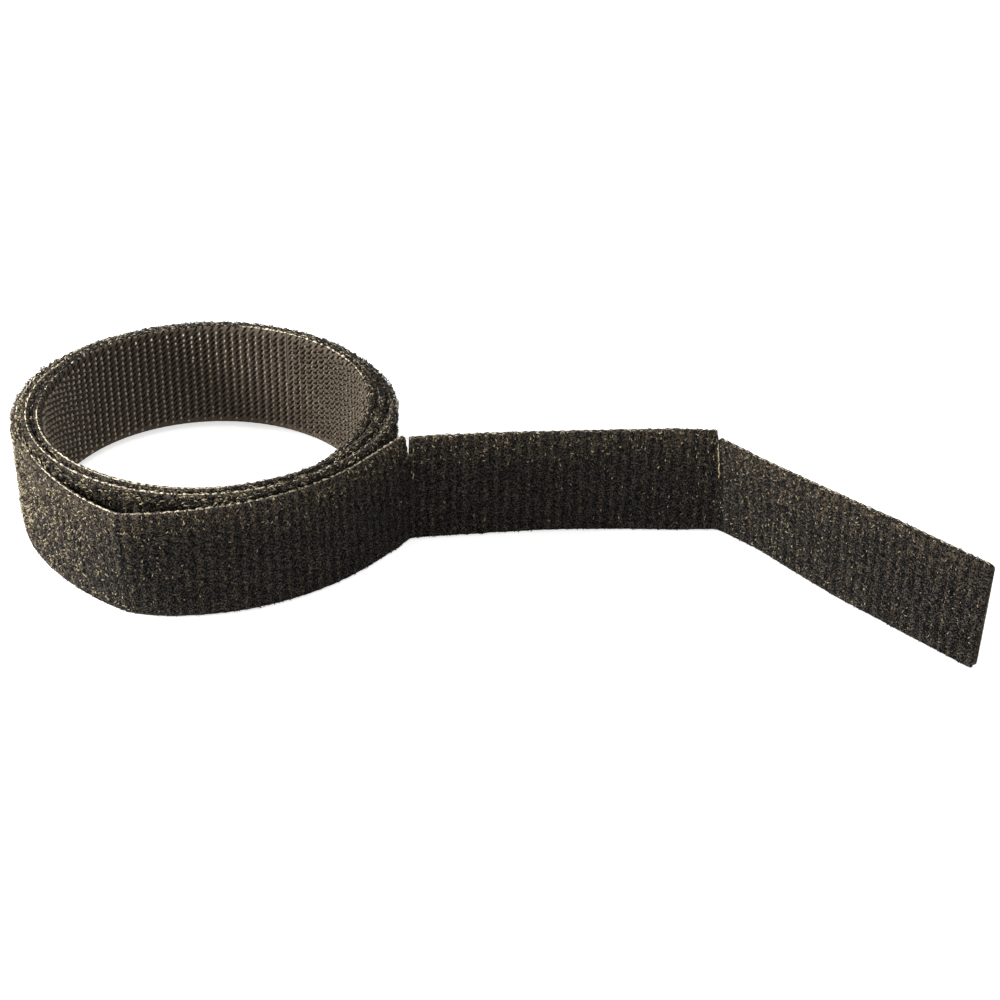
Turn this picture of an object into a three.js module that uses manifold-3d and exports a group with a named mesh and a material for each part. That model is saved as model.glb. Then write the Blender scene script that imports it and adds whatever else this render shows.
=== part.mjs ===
// A short roll of back-to-back hook and loop tape, wound up on its edge.
// The tape has three plies: a woven hook ply that faces the hollow of the coil, a thin bond film,
// and a loop pile ply that faces out. Slits cut down from the top edge divide it into tear-off
// ties, which hang together by the uncut land under each slit. Three ties lead off the coil.
// The unit is the millimetre, +Z is up, and the roll stands on the bottom edge of its tape.
import * as THREE from 'three';
import { mergeVertices } from 'three/addons/utils/BufferGeometryUtils.js';
import Module from 'manifold-3d';

const wasm = await Module();
wasm.setup();

// The tape and its plies
const tapeWidth = 20;
const hookPlyThickness = 0.55;
const filmThickness = 0.15;
const loopPlyThickness = 0.65;

// The ties, and the slits between them
const tiePitch = 54;
const woundTies = 9;
const slitDepth = 9;
const slitWidth = 0.4;
const endCornerRadius = 0.8;

// The lands, which fold as hinges
const foldLimit = THREE.MathUtils.degToRad(85);
const landClearance = 0.3;
const noseClearance = 0.08;

// The coil: its hollow, the air between turns, and the last stretch that springs off it
const eyeRadius = 27;
const turnGap = 0.5;
const looseLength = 25;
const looseRadius = 51;
const looseEndHeading = THREE.MathUtils.degToRad(-29);

// The inner turns ride higher than the outermost one, which comes down to the table by a ramp
const turnLift = 1;
const rampLength = 68;
const rampEnd = 92;

// The three free ties: how each one curves, and the fold at the slit that it starts from.
// The front tie's fold is worked out further down, because that tie leans back on the coil.
const frontRadius = 44;
const frontArcLength = 43;
const middleFold = THREE.MathUtils.degToRad(-40);
const middleRadius = 215;
const endFold = THREE.MathUtils.degToRad(-45);
const endRadius = 560;

// Fineness of the round forms, and how far a cutting tool runs past what it cuts
const stationStep = 4.2;
const roundSides = 28;
const foldStep = THREE.MathUtils.degToRad(0.01);
const overrun = 0.5;

// Sizes that follow from the ones above
const tapeThickness = hookPlyThickness + filmThickness + loopPlyThickness;
const halfThickness = tapeThickness / 2;
const landHeight = tapeWidth - slitDepth;
const socketRadius = halfThickness + landClearance;
const noseSetback = halfThickness / Math.cos(foldLimit / 2) + noseClearance;
const turnPitch = tapeThickness + turnGap;
const startRadius = eyeRadius + halfThickness;
const woundLength = tiePitch * (woundTies + 1);
const spiralLength = woundLength - looseLength;
const rise = turnPitch / (2 * Math.PI);

// Each ply as a span of offsets from the middle of the tape, where plus is the outer, loop side
const plies = [
  { name: 'hook_ply', inner: -halfThickness, outer: hookPlyThickness - halfThickness },
  { name: 'bond_film', inner: hookPlyThickness - halfThickness, outer: halfThickness - loopPlyThickness },
  { name: 'loop_ply', inner: halfThickness - loopPlyThickness, outer: halfThickness },
];

const clothBlack = new THREE.Color('#23211f');
const materials = {
  hook_ply: new THREE.MeshStandardMaterial({ color: '#4a4239', roughness: 0.75, metalness: 0 }),
  bond_film: new THREE.MeshStandardMaterial({ color: '#c9b998', roughness: 0.6, metalness: 0 }),
  loop_ply: new THREE.MeshStandardMaterial({ color: clothBlack, roughness: 0.95, metalness: 0 }),
  land: new THREE.MeshStandardMaterial({ color: clothBlack, roughness: 0.9, metalness: 0 }),
};

// Paths. A path turns a length along the tape into a place, a heading and a height off the table.

// A stretch that bends evenly: from a start, by a length, at a radius that is plus for a left bend
function arcFrom(start, length, radius) {
  const heading = start.heading + length / radius;
  return {
    x: start.x + radius * (Math.sin(heading) - Math.sin(start.heading)),
    y: start.y - radius * (Math.cos(heading) - Math.cos(start.heading)),
    heading,
    lift: start.lift,
  };
}

function straightFrom(start, length) {
  return {
    x: start.x + length * Math.cos(start.heading),
    y: start.y + length * Math.sin(start.heading),
    heading: start.heading,
    lift: start.lift,
  };
}

function spiralRadius(length) {
  return Math.sqrt(startRadius ** 2 + 2 * rise * length);
}

// The height of the wound tape's bottom edge, at a length back from the last wound slit
function liftAt(lengthBack) {
  return turnLift * THREE.MathUtils.smoothstep(lengthBack, rampEnd, rampEnd + rampLength);
}

// The spiral grows by one pitch a turn. It is turned so that the loose stretch ends on its heading.
const leavingRadius = spiralRadius(spiralLength);
const leavingHeading = looseEndHeading - looseLength / looseRadius;
const leavingAngle = leavingHeading - Math.PI / 2 + Math.atan(rise / leavingRadius);

function woundPath(length) {
  const onSpiral = Math.min(length, spiralLength);
  const radius = spiralRadius(onSpiral);
  const angle = leavingAngle - (leavingRadius - radius) / rise;
  const place = {
    x: radius * Math.cos(angle),
    y: radius * Math.sin(angle),
    heading: angle + Math.PI / 2 - Math.atan(rise / radius),
    lift: liftAt(woundLength - length),
  };
  return length > spiralLength ? arcFrom(place, length - spiralLength, looseRadius) : place;
}

const atOrigin = { x: 0, y: 0, heading: 0, lift: 0 };

function frontPath(length) {
  const bent = arcFrom(atOrigin, Math.min(length, frontArcLength), frontRadius);
  return straightFrom(bent, Math.max(length - frontArcLength, 0));
}

function middlePath(length) {
  return arcFrom(atOrigin, length, -middleRadius);
}

function endPath(length) {
  return arcFrom(atOrigin, length, endRadius);
}

function turned(place, angle) {
  return {
    x: place.x * Math.cos(angle) - place.y * Math.sin(angle),
    y: place.x * Math.sin(angle) + place.y * Math.cos(angle),
    heading: place.heading + angle,
    lift: place.lift,
  };
}

function moved(place, x, y, lift) {
  return { x: place.x + x, y: place.y + y, heading: place.heading, lift: place.lift + lift };
}

// The slits at the two ends of the coil, which the inner tie and the front tie hang on
const innerHinge = woundPath(tiePitch);
const frontHinge = woundPath(woundLength);

// The inner tie, seen from its slit
function innerPath(length) {
  const place = moved(woundPath(length), -innerHinge.x, -innerHinge.y, -innerHinge.lift);
  return { ...turned(place, -innerHinge.heading), lift: 0 };
}

function stationsAlong(path, from, to) {
  const steps = Math.ceil((to - from) / stationStep);
  return Array.from({ length: steps + 1 }, (_, i) => path(from + ((to - from) * i) / steps));
}

// A point beside the middle of the tape: plus offsets lie on the outer side, right of the heading
function beside(place, offset) {
  return [place.x + offset * Math.sin(place.heading), place.y - offset * Math.cos(place.heading)];
}

// The least air from the outer face of one stretch to the inner face of another. Where both are the
// same stretch, apart leaves out what lies closer along the tape than that many stations.
function leastAir(outerStations, innerStations, apart = -Infinity) {
  const pointOf = (place, offset) => new THREE.Vector3(...beside(place, offset));
  const outside = outerStations.map((place) => pointOf(place, halfThickness));
  const inside = innerStations.map((place) => pointOf(place, -halfThickness));
  const nearest = new THREE.Vector3();
  let least = Infinity;
  outside.forEach((point, i) => {
    for (let j = Math.max(i + apart, 0); j + 1 < inside.length; j += 1) {
      new THREE.Line3(inside[j], inside[j + 1]).closestPointToPoint(point, true, nearest);
      least = Math.min(least, nearest.distanceTo(point));
    }
  });
  return least;
}

const woundStations = stationsAlong(woundPath, 0, woundLength);
const halfTurn = Math.ceil((Math.PI * startRadius) / stationStep);

function airBehindFrontTie(fold) {
  const tie = stationsAlong(frontPath, 0, tiePitch).map((place) =>
    moved(turned(place, frontHinge.heading + fold), frontHinge.x, frontHinge.y, frontHinge.lift),
  );
  return leastAir(woundStations.slice(0, -halfTurn), tie);
}

// The front tie folds towards the coil until only the air of a turn is left between them
function leaningFold() {
  let open = 0;
  let closed = foldLimit;
  while (closed - open > foldStep) {
    const middle = (open + closed) / 2;
    if (airBehindFrontTie(middle) > turnGap) {
      open = middle;
    } else {
      closed = middle;
    }
  }
  return open;
}

const frontFold = leaningFold();

console.log(`least gap between turns: ${leastAir(woundStations, woundStations, halfTurn).toFixed(3)} mm`);
console.log(`least gap behind the front tie: ${airBehindFrontTie(frontFold).toFixed(3)} mm`);

// Solids

function solidOf(geometry) {
  geometry.deleteAttribute('normal');
  geometry.deleteAttribute('uv');
  const merged = mergeVertices(geometry);
  const vertProperties = merged.getAttribute('position').array;
  const triVerts = Uint32Array.from(merged.getIndex().array);
  return new wasm.Manifold(new wasm.Mesh({ numProp: 3, vertProperties, triVerts }));
}

function meshOf(name, solid, material) {
  const { vertProperties, triVerts } = solid.getMesh();
  const geometry = new THREE.BufferGeometry();
  geometry.setAttribute('position', new THREE.BufferAttribute(vertProperties, 3));
  geometry.setIndex(new THREE.BufferAttribute(triVerts, 1));
  geometry.computeVertexNormals();
  const mesh = new THREE.Mesh(geometry, material);
  mesh.name = name;
  return mesh;
}

// One ply of a stretch of tape, swept through its stations with four corners at each
function band(stations, inner, outer) {
  const corners = [[inner, 0], [outer, 0], [outer, tapeWidth], [inner, tapeWidth]];
  const positions = [];
  const index = [];
  for (const place of stations) {
    for (const [offset, height] of corners) {
      positions.push(...beside(place, offset), place.lift + height);
    }
  }
  const last = (stations.length - 1) * corners.length;
  for (let start = 0; start < last; start += corners.length) {
    corners.forEach((_, k) => {
      const here = start + k;
      const next = start + ((k + 1) % corners.length);
      index.push(next, here, here + corners.length);
      index.push(next, here + corners.length, next + corners.length);
    });
  }
  index.push(0, 1, 2, 0, 2, 3);
  index.push(last, last + 2, last + 1, last, last + 3, last + 2);
  const geometry = new THREE.BufferGeometry();
  geometry.setAttribute('position', new THREE.Float32BufferAttribute(positions, 3));
  geometry.setIndex(index);
  return solidOf(geometry);
}

// A block in a place's own frame: along the tape, across its thickness, and up
function blockAt(place, along, across, up) {
  const size = [along, across, up].map(([from, to]) => to - from);
  const middle = [along, across, up].map(([from, to]) => (from + to) / 2);
  const geometry = new THREE.BoxGeometry(...size);
  geometry.translate(...middle);
  geometry.rotateZ(place.heading);
  geometry.translate(place.x, place.y, place.lift);
  return solidOf(geometry);
}

function postAt(place, along, radius, up) {
  const geometry = new THREE.CylinderGeometry(radius, radius, up[1] - up[0], roundSides);
  geometry.rotateX(Math.PI / 2);
  geometry.translate(along, 0, (up[0] + up[1]) / 2);
  geometry.rotateZ(place.heading);
  geometry.translate(place.x, place.y, place.lift);
  return solidOf(geometry);
}

const throughTape = [-halfThickness - overrun, halfThickness + overrun];
const besideSlit = [landHeight, tapeWidth + overrun];

function slitCutter(place) {
  return blockAt(place, [-slitWidth / 2, slitWidth / 2], throughTape, besideSlit);
}

// What a folding slit takes off the tie beside it. Under the slit the tie ends in a hollow round
// the land. Beside the slit it ends in a round nose, set back so that two noses can fold together.
// side is 1 where the tie runs on from the hinge, and -1 where it comes up to it.
function hingeCutters(place, side) {
  const socket = postAt(place, 0, socketRadius, [-overrun, landHeight]);
  const span = [-overrun * side, noseSetback * side].sort((a, b) => a - b);
  const nose = postAt(place, noseSetback * side, halfThickness, besideSlit);
  const aroundNose = blockAt(place, span, throughTape, besideSlit).subtract(nose);
  return [socket, aroundNose];
}

// Takes the two sharp corners off a cut end. side is 1 where the tape ends ahead of the place.
function cornerCutters(place, side) {
  const corners = [
    { middle: endCornerRadius, up: [-overrun, endCornerRadius] },
    { middle: tapeWidth - endCornerRadius, up: [tapeWidth - endCornerRadius, tapeWidth + overrun] },
  ];
  return corners.map(({ middle, up }) => {
    const span = [-endCornerRadius * side, overrun * side].sort((a, b) => a - b);
    const length = throughTape[1] - throughTape[0] + overrun;
    const geometry = new THREE.CylinderGeometry(endCornerRadius, endCornerRadius, length, roundSides);
    geometry.translate(-endCornerRadius * side, 0, middle);
    geometry.rotateZ(place.heading);
    geometry.translate(place.x, place.y, place.lift);
    return blockAt(place, span, throughTape, up).subtract(solidOf(geometry));
  });
}

// The three plies of one stretch of tape, all cut alike
function pliesOf(prefix, stations, cutters) {
  return plies.map(({ name, inner, outer }) => {
    const solid = cutters.reduce((body, cutter) => body.subtract(cutter), band(stations, inner, outer));
    return meshOf(`${prefix}_${name}`, solid, materials[name]);
  });
}

// The uncut land under a folding slit, round on the line that the tape folds about
function landOf(name, lift) {
  const place = { ...atOrigin, lift };
  return meshOf(name, postAt(place, 0, halfThickness, [0, landHeight - landClearance]), materials.land);
}

// The wound coil, one unbroken tape from the inner tie's slit to the front tie's slit

function woundCoil() {
  const coil = new THREE.Group();
  const slits = Array.from({ length: woundTies - 1 }, (_, i) => woundPath(tiePitch * (i + 2)));
  const cutters = [
    ...hingeCutters(innerHinge, 1),
    ...slits.map(slitCutter),
    ...hingeCutters(frontHinge, -1),
  ];
  coil.add(...pliesOf('coil', stationsAlong(woundPath, tiePitch, woundLength), cutters));
  return coil;
}

// A group that turns about a land, at the place of its slit
function tieAt(place, fold) {
  const tie = new THREE.Group();
  tie.position.set(place.x, place.y, place.lift);
  tie.rotation.z = place.heading + fold;
  return tie;
}

function innerTie() {
  const tie = tieAt(innerHinge, 0);
  const cutters = [...hingeCutters(innerPath(tiePitch), -1), ...cornerCutters(innerPath(0), -1)];
  tie.add(...pliesOf('inner_tie', stationsAlong(innerPath, 0, tiePitch), cutters));
  tie.add(landOf('inner_tie_land', 0));
  return tie;
}

function frontTie() {
  const tie = tieAt(frontHinge, frontFold);
  const cutters = [...hingeCutters(atOrigin, 1), ...hingeCutters(frontPath(tiePitch), -1)];
  tie.add(...pliesOf('front_tie', stationsAlong(frontPath, 0, tiePitch), cutters));
  tie.add(landOf('front_tie_land', 0));
  return tie;
}

function middleTie() {
  const tie = tieAt(frontPath(tiePitch), middleFold);
  const cutters = [...hingeCutters(atOrigin, 1), ...hingeCutters(middlePath(tiePitch), -1)];
  tie.add(...pliesOf('middle_tie', stationsAlong(middlePath, 0, tiePitch), cutters));
  tie.add(landOf('middle_tie_land', 0));
  return tie;
}

function endTie() {
  const tie = tieAt(middlePath(tiePitch), endFold);
  const cutters = [...hingeCutters(atOrigin, 1), ...cornerCutters(endPath(tiePitch), 1)];
  tie.add(...pliesOf('end_tie', stationsAlong(endPath, 0, tiePitch), cutters));
  tie.add(landOf('end_tie_land', 0));
  return tie;
}

// The roll, with the free ties nested as they hang on each other
const front = frontTie();
const middle = middleTie();
const end = endTie();
middle.add(end);
front.add(middle);

const coil = woundCoil();
coil.add(innerTie(), front);

// Its origin is the middle of the box round it, on the table
const box = new THREE.Box3().setFromObject(coil, true);
const centre = box.getCenter(new THREE.Vector3());
coil.position.set(-centre.x, -centre.y, -box.min.z);

const roll = new THREE.Group();
roll.add(coil);

export default roll;
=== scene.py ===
"""A roll of double-sided hook and loop tape, slit into tear-off ties, dressed round its solids."""

import math

import bpy
import numpy as np
from mathutils import Matrix, Vector


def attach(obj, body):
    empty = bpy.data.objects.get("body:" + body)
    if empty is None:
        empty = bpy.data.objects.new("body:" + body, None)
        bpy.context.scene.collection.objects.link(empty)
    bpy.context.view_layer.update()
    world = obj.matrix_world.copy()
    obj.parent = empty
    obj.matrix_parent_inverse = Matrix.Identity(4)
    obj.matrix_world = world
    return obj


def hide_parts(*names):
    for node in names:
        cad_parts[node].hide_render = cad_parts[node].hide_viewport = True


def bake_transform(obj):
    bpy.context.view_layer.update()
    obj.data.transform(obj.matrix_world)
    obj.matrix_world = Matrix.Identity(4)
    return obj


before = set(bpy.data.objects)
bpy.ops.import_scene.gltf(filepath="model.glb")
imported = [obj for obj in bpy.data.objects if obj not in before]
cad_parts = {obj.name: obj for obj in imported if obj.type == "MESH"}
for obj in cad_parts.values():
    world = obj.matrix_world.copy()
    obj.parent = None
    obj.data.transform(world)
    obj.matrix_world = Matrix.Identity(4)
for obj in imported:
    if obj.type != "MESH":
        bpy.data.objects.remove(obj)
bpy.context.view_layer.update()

bl_info = {
    "name": "Hook and loop tape roll",
    "version": (1, 0, 0),
    "blender": (4, 5, 0),
    "location": "3D View > Sidebar > Tape roll",
    "description": "Builds the cloths, film, pile and hooks of a wound tape of tear-off ties",
    "category": "Add Mesh",
}

MM = 0.001

# Sizes are in millimetres and degrees. "Along" is the length along the tape from its start
# inside the coil, "across" the height over its lower edge, and "outward" the distance from
# its middle line, away from the coil's heart.

# The tape's course in plan, as the solids have it.
TAPE_WIDTH = 20.0
TIE_PITCH = 54.0
TIES = 13
TAPE_LENGTH = TIES * TIE_PITCH
SLITS = [n * TIE_PITCH for n in range(1, TIES)]
INNER_HINGE, FRONT_HINGE, MIDDLE_HINGE, END_HINGE = (TIE_PITCH * n for n in (1, 10, 11, 12))
HALF_THICKNESS = 0.675
CLOTH_FACE = 0.6
FILM_INNER, FILM_OUTER = -0.125, 0.025
COIL_CENTRE = (-47.3404, 5.4557)
EYE_RADIUS = 27.0
TURN_PITCH = 1.85
LOOSE_LENGTH, LOOSE_RADIUS = 25.0, 51.0
LOOSE_END_HEADING = -29.0
FRONT_HEADING = -4.0977
FRONT_ARC, FRONT_RADIUS = 43.0, 44.0
STRAIGHT_RADIUS = 1e7
MIDDLE_FOLD, MIDDLE_RADIUS = -40.0, -215.0
END_FOLD, END_RADIUS = -45.0, 560.0
SLIT_FOOT = 11.0
SLIT_HALF = 0.012
END_ROOM = 0.25

# The cut end inside the eye is pressed thin: how thin, and over what length.
PRESSED, PRESSED_REACH = 0.5, 10.0

# How high each stretch rides: along, height. The wound turns sit at slightly different
# heights, and the tape's start has sunk behind the next turn.
LIFT = np.array([
    (0, 0.1), (12, 0.5), (28, 0.95), (50, 0.8), (110, 0.75), (140, 1), (170, 1),
    (205, 0.35), (272, 0.2), (305, 1), (372, 1), (386, 0.6), (400, 0.12), (415, 0), (702, 0),
])
# How the cloth departs from upright: along, how far its top edge stands outward, and how far
# its foot does.
STANCE = np.array([
    (0, 0.35, 0.35), (9, 0.2, 0.2), (18, 0, 0), (212, 0, 0), (230, -0.3, -0.3),
    (265, -0.35, -0.35), (288, 0, 0), (370, 0, 0), (385, 0.45, 0.35), (396, 0.35, 0.25),
    (406, -0.3, -0.3), (418, -0.9, -0.85), (432, -1.1, -1.0), (465, -0.9, -0.7),
    (485, -0.1, -0.1), (500, -0.15, -0.3), (515, -0.3, -0.5), (535, 0.9, -0.8),
    (540, 1.1, -1.0), (546, 0.4, -0.3), (553, -0.2, -0.1), (560, -0.35, 0.1),
    (590, -0.4, 0.3), (594, -0.1, -0.2), (605, 0.3, 0), (618, 0.5, -0.4), (630, 0.4, -0.45),
    (640, 0.15, -0.5), (648, 0.9, -1.3), (657, 1.3, -1.9), (666, 1.1, -1.2),
    (675, 0.8, -0.55), (684, 0.45, -0.4), (693, 0.55, -0.1), (702, 0.8, 0.3),
])
# The two corners over a slit that gapes: how far each stands outward, and how far it draws
# back from the slit. The other slits are shut.
GAPES = {
    MIDDLE_HINGE: (-1.0, 0.0, 0.45, 0.15),
    END_HINGE: (-1.6, 1.15, 1.25, 0.2),
}
# How far along the tape a corner's lean and gape reach, how steeply they grow up the tape,
# and the lean's limit above it.
LEAN_REACH, GAPE_REACH = 11.0, 3.0
LEAN_GROWTH, GAPE_GROWTH, LEAN_LIMIT = 1.3, 1.2, 1.1
# The end cut isn't quite square: how much longer its top and foot are, fading over a length.
# Both end cuts have round corners.
END_SKEW_TOP, END_SKEW_FOOT, END_SKEW_REACH = 0.8, 0.3, 14.0
END_CORNER, END_CORNER_REACH = 0.8, 2.0

# Where stray pile covers the film's edge: along, how high it stands over the tape's top.
COVER = np.array([
    (0, 0.4), (26, 0.4), (34, 0), (56, 0), (66, 0.2), (112, 0.2), (120, 0), (160, 0),
    (172, 0.4), (212, 0.4), (216, 0.15), (280, 0.15), (292, 0), (356, 0), (368, 0.4),
    (408, 0.4), (412, 0.15), (482, 0.15), (496, 0), (590, 0), (596, 0.22), (645, 0.2),
    (655, 0.13), (702, 0.13),
])
# How far the film sinks there, and from which height of pile to which.
FILM_SINK, SINK_START, SINK_FULL = 0.2, 0.075, 0.225
# How high the film's two edges lie, and how far it reaches into the loop cloth.
FILM_TOP, FILM_FOOT, FILM_BULGE = 20.15, -0.04, 0.05
# Painted sheen on the outer face: along, and the share of its loops that are pale, low on the tape
# and at its top edge. The pale loops are painted highlights, most on the coil's left, which faces
# the key lamp, and along the top edge, where light from above catches the pile. Between two
# heights it passes from one share to the other, and more loops are pale on the ribs' crests.
PAINTED_SHEEN = np.array([
    (0, 0.25, 0.35), (40, 0.25, 0.35), (58, 0.1, 0.12), (112, 0.1, 0.15), (130, 0.3, 0.45),
    (155, 0.25, 0.35), (200, 0.2, 0.32), (215, 0.1, 0.12), (285, 0.1, 0.15),
    (300, 0.3, 0.5), (335, 0.25, 0.36), (400, 0.3, 0.34), (410, 0.3, 0.12), (465, 0.5, 0.2),
    (482, 0.62, 0.3), (492, 0.66, 0.6), (512, 0.66, 0.66), (532, 0.36, 0.5),
    (548, 0.06, 0.4), (562, 0.0, 0.26), (600, 0.0, 0.4), (630, 0.03, 0.38),
    (648, 0.12, 0.4), (656, 0.3, 0.36), (672, 0.24, 0.28), (686, 0.09, 0.15),
    (702, 0.08, 0.14),
])
SHEEN_FROM, SHEEN_TO = 13.0, 18.5
SHEEN_ON_RIBS = 0.05
# How light loops are, 0 to 1 along the pile's colours: the pale ones, and, by their place
# along the tape, the others at most.
PALE_TONE = (0.45, 1.0)
# The others are darkest on the coil's left, 485 to 512 mm, as painted shade between its painted
# highlights.
PLAIN_TONE = np.array([
    (470, 0.26), (485, 0.12), (512, 0.12), (530, 0.26), (550, 0.33), (650, 0.33), (656, 0.24),
])
# How light hooks are, by their place along the tape: painted highlights on the hooks' tops from 65
# mm, brightest from 85 to 98 mm, and painted shade on them up to 45 mm; and how much one may
# differ.
HOOK_LIGHT_AND_SHADE = np.array([(45, 0), (65, 0.25), (85, 0.75), (98, 0.75), (112, 0.35)])
HOOK_TONE_SPREAD = 0.2

# How far outward loops and hooks start, and the seeds of their first stretches.
PILE_FOOT, HOOK_FOOT = 0.55, -0.55
PILE_SEED, HOOK_SEED = 400, 500
# The top selvage's loops crest over its edge, and both edges swell with the weft's turns.
CREST, CREST_FROM = 0.25, 18.6
SCALLOP_PITCH, SCALLOP_TOP, SCALLOP_FOOT = 1.65, 0.12, 0.02
# Where a loop's points lie along its width, and how many loops there are on a millimetre of
# covered edge and of gap between two turns.
LOOP_BOW = np.array([-0.5, -0.2, 0.2, 0.5])
RIM_LOOPS, GAP_LOOPS = 8.0, 8.0
# Where gap loops stand twice as close, where there are none, and how far outward they reach.
WIDE_GAPS = ((188, 214), (295, 360))
BARE_GAPS = ((216, 288), (408, 482), (510, 702))
GAP_REACH = np.array([
    (180, 1.15), (190, 1.8), (214, 1.8), (218, 1.15), (290, 1.15), (310, 2.1), (350, 2.1),
    (365, 1.15),
])
# Where the next turn holds the pile down, and how far outward and over the tape's top it
# then stands at most.
HELD_PILE = ((216, 290), (408, 482))
START_HELD_END = 18
HELD_OUT, HELD_OVER = 0.85, 0.06
# The slits whose cut edge shows, and how many pale frayed strands stand along it.
FRAYED = {MIDDLE_HINGE: 8, END_HINGE: 40}
# How many rows of hooks the hook cloth's twill climbs from one column to the next.
TWILL_STEPS = 1.5

# The folds between the tape's pieces: where, and the two bodies that each joins. A fold's pieces
# reach so far either way; the shorter reach is not used.
HINGE_REACH, BEND_REACH = 3.2, 2.6
HINGES = {
    "inner_hinge": (INNER_HINGE, "inner_tie", "coil"),
    "front_hinge": (FRONT_HINGE, "coil", "front_tie"),
    "middle_hinge": (MIDDLE_HINGE, "front_tie", "middle_tie"),
    "end_hinge": (END_HINGE, "middle_tie", "end_tie"),
}
STRETCHES = ("inner_tie", "inner_hinge", "coil_heart", "coil", "front_hinge", "front_tie",
             "middle_hinge", "middle_tie", "end_hinge", "end_tie")
# Between the turns only top edges show. The outer face is plain up to the first of these
# lengths, and the inner one from the second. The innermost tie, once peeled, bares the next
# turn's hooks up to the third.
HIDDEN_LOOP_END, HIDDEN_HOOK_START, BARED_HOOK_END = 318.0, 192.0, 262.0
# The heights above which a plain stretch still has pile and hooks, and the heights of a
# cloth's rows of points there.
HIDDEN_PILE_FROM, HIDDEN_HOOKS_FROM = 17.3, 18.0
PLAIN_LOOP_ROWS = [3.0, 6.0, SLIT_FOOT, 13.5, 16.0, 17.0, 17.5, 18.0, 18.5, 19.0, 19.5]
PLAIN_HOOK_ROWS = [3.0, 6.0, SLIT_FOOT, 13.5, 16.0, 17.5, 18.5, 19.0, 19.5]
# How far a cloth's first and last rows lie from its edges elsewhere.
EDGE_ROW = 0.5
# Where the coil's pile is cut in two pieces, so that neither has too many faces.
PILE_SPLIT = 427.0

# The stage, in metres and degrees: the floor's half width and how far it lies under the
# tape, and each lamp's place, aim, width and power.
FLOOR_HALF, FLOOR_DROP = 3.0, 0.15 * MM
FLOOR_GLOW = 0.7
LAMPS = {
    "key_lamp": ((-0.30, -0.06, 0.13), (-0.06, 0, 0.01), 0.10, 1.45),
    "top_lamp": ((0.05, -0.05, 0.8), (0, 0, 0.01), 0.5, 2.0),
}
WHITE, WORLD_LIGHT = (1, 1, 1, 1), 0.26
# The photograph's camera: where it looks on the floor, from how far, how steeply down, its
# tilt to one side, and its focal length in widths of the picture.
CAMERA_AIM, CAMERA_AWAY = (3.6126 * MM, 9.0357 * MM), 0.36777
CAMERA_PITCH, CAMERA_TILT = 31.87, 1.513
FOCAL_WIDTHS, SENSOR_WIDTH = 2.0505, 36.0


def stretches(split):
    """Each stretch of the tape in order: its name, start and end. The coil is cut at split."""
    folds = [at + reach for at, _, _ in HINGES.values() for reach in (-HINGE_REACH, HINGE_REACH)]
    edges = sorted([0.0, *folds, split, TAPE_LENGTH])
    return list(zip(STRETCHES, edges, edges[1:]))


def arc(start, run, radius):
    """Places and headings along an arc that starts at a place and heading."""
    x, y, h = start
    end = h + run / radius
    return np.stack([
        x + radius * (np.sin(end) - math.sin(h)),
        y - radius * (np.cos(end) - math.cos(h)),
        end,
    ], -1)


def smooth(value, low, high):
    """Rises smoothly from 0 at low to 1 at high."""
    t = np.clip((value - low) / (high - low), 0, 1)
    return t * t * (3 - 2 * t)


def within(along, spans):
    """True where a length lies inside one of the spans."""
    return np.any([(along > start) & (along < end) for start, end in spans], axis=0)


def slit_share(across, limit):
    """0 up to the slits' foot and 1 at the tape's top edge."""
    return np.clip((across - SLIT_FOOT) / (TAPE_WIDTH - SLIT_FOOT), 0, limit)


def lay_course(step=0.2, rounding=1.7):
    """Length along the tape, x, y, heading and lift of its middle line, folds rounded."""
    along = np.arange(0, TAPE_LENGTH + step / 2, step)
    rise = TURN_PITCH / (2 * math.pi)
    start = EYE_RADIUS + HALF_THICKNESS
    leaving = FRONT_HINGE - LOOSE_LENGTH
    radius = np.sqrt(start**2 + 2 * rise * along)
    last = math.sqrt(start**2 + 2 * rise * leaving)
    heading = math.radians(LOOSE_END_HEADING) - LOOSE_LENGTH / LOOSE_RADIUS
    turned = heading - math.pi / 2 + math.atan(rise / last) - (last - radius) / rise
    points = np.stack([
        COIL_CENTRE[0] + radius * np.cos(turned),
        COIL_CENTRE[1] + radius * np.sin(turned),
        turned + math.pi / 2 - np.arctan(rise / radius),
    ], -1)

    def follow(begin, place, radius):
        rows = along > begin
        points[rows] = arc(place, along[rows] - begin, radius)

    def place_at(at):
        return [np.interp(at, along, points[:, k]) for k in range(3)]

    follow(leaving, place_at(leaving), LOOSE_RADIUS)
    x, y, _ = place_at(FRONT_HINGE)
    follow(FRONT_HINGE, (x, y, math.radians(FRONT_HEADING)), FRONT_RADIUS)
    straight = FRONT_HINGE + FRONT_ARC
    follow(straight, place_at(straight), STRAIGHT_RADIUS)
    x, y, h = place_at(MIDDLE_HINGE)
    follow(MIDDLE_HINGE, (x, y, h + math.radians(MIDDLE_FOLD)), MIDDLE_RADIUS)
    x, y, h = place_at(END_HINGE)
    follow(END_HINGE, (x, y, h + math.radians(END_FOLD)), END_RADIUS)

    reach = round(rounding / step)
    weight = np.hanning(2 * reach + 3)[1:-1]
    weight /= weight.sum()
    line = points[:, :2]
    lead = line[0] + (line[0] - line[1]) * np.arange(reach, 0, -1)[:, None]
    tail = line[-1] + (line[-1] - line[-2]) * np.arange(1, reach + 1)[:, None]
    line = np.vstack([lead, line, tail])
    line = np.stack([np.convolve(line[:, k], weight, "valid") for k in range(2)], -1)
    slope = np.gradient(line, axis=0)
    heading = np.unwrap(np.arctan2(slope[:, 1], slope[:, 0]))
    lift = np.interp(along, *LIFT.T)
    return along, line[:, 0], line[:, 1], heading, lift


COURSE = lay_course()


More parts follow.
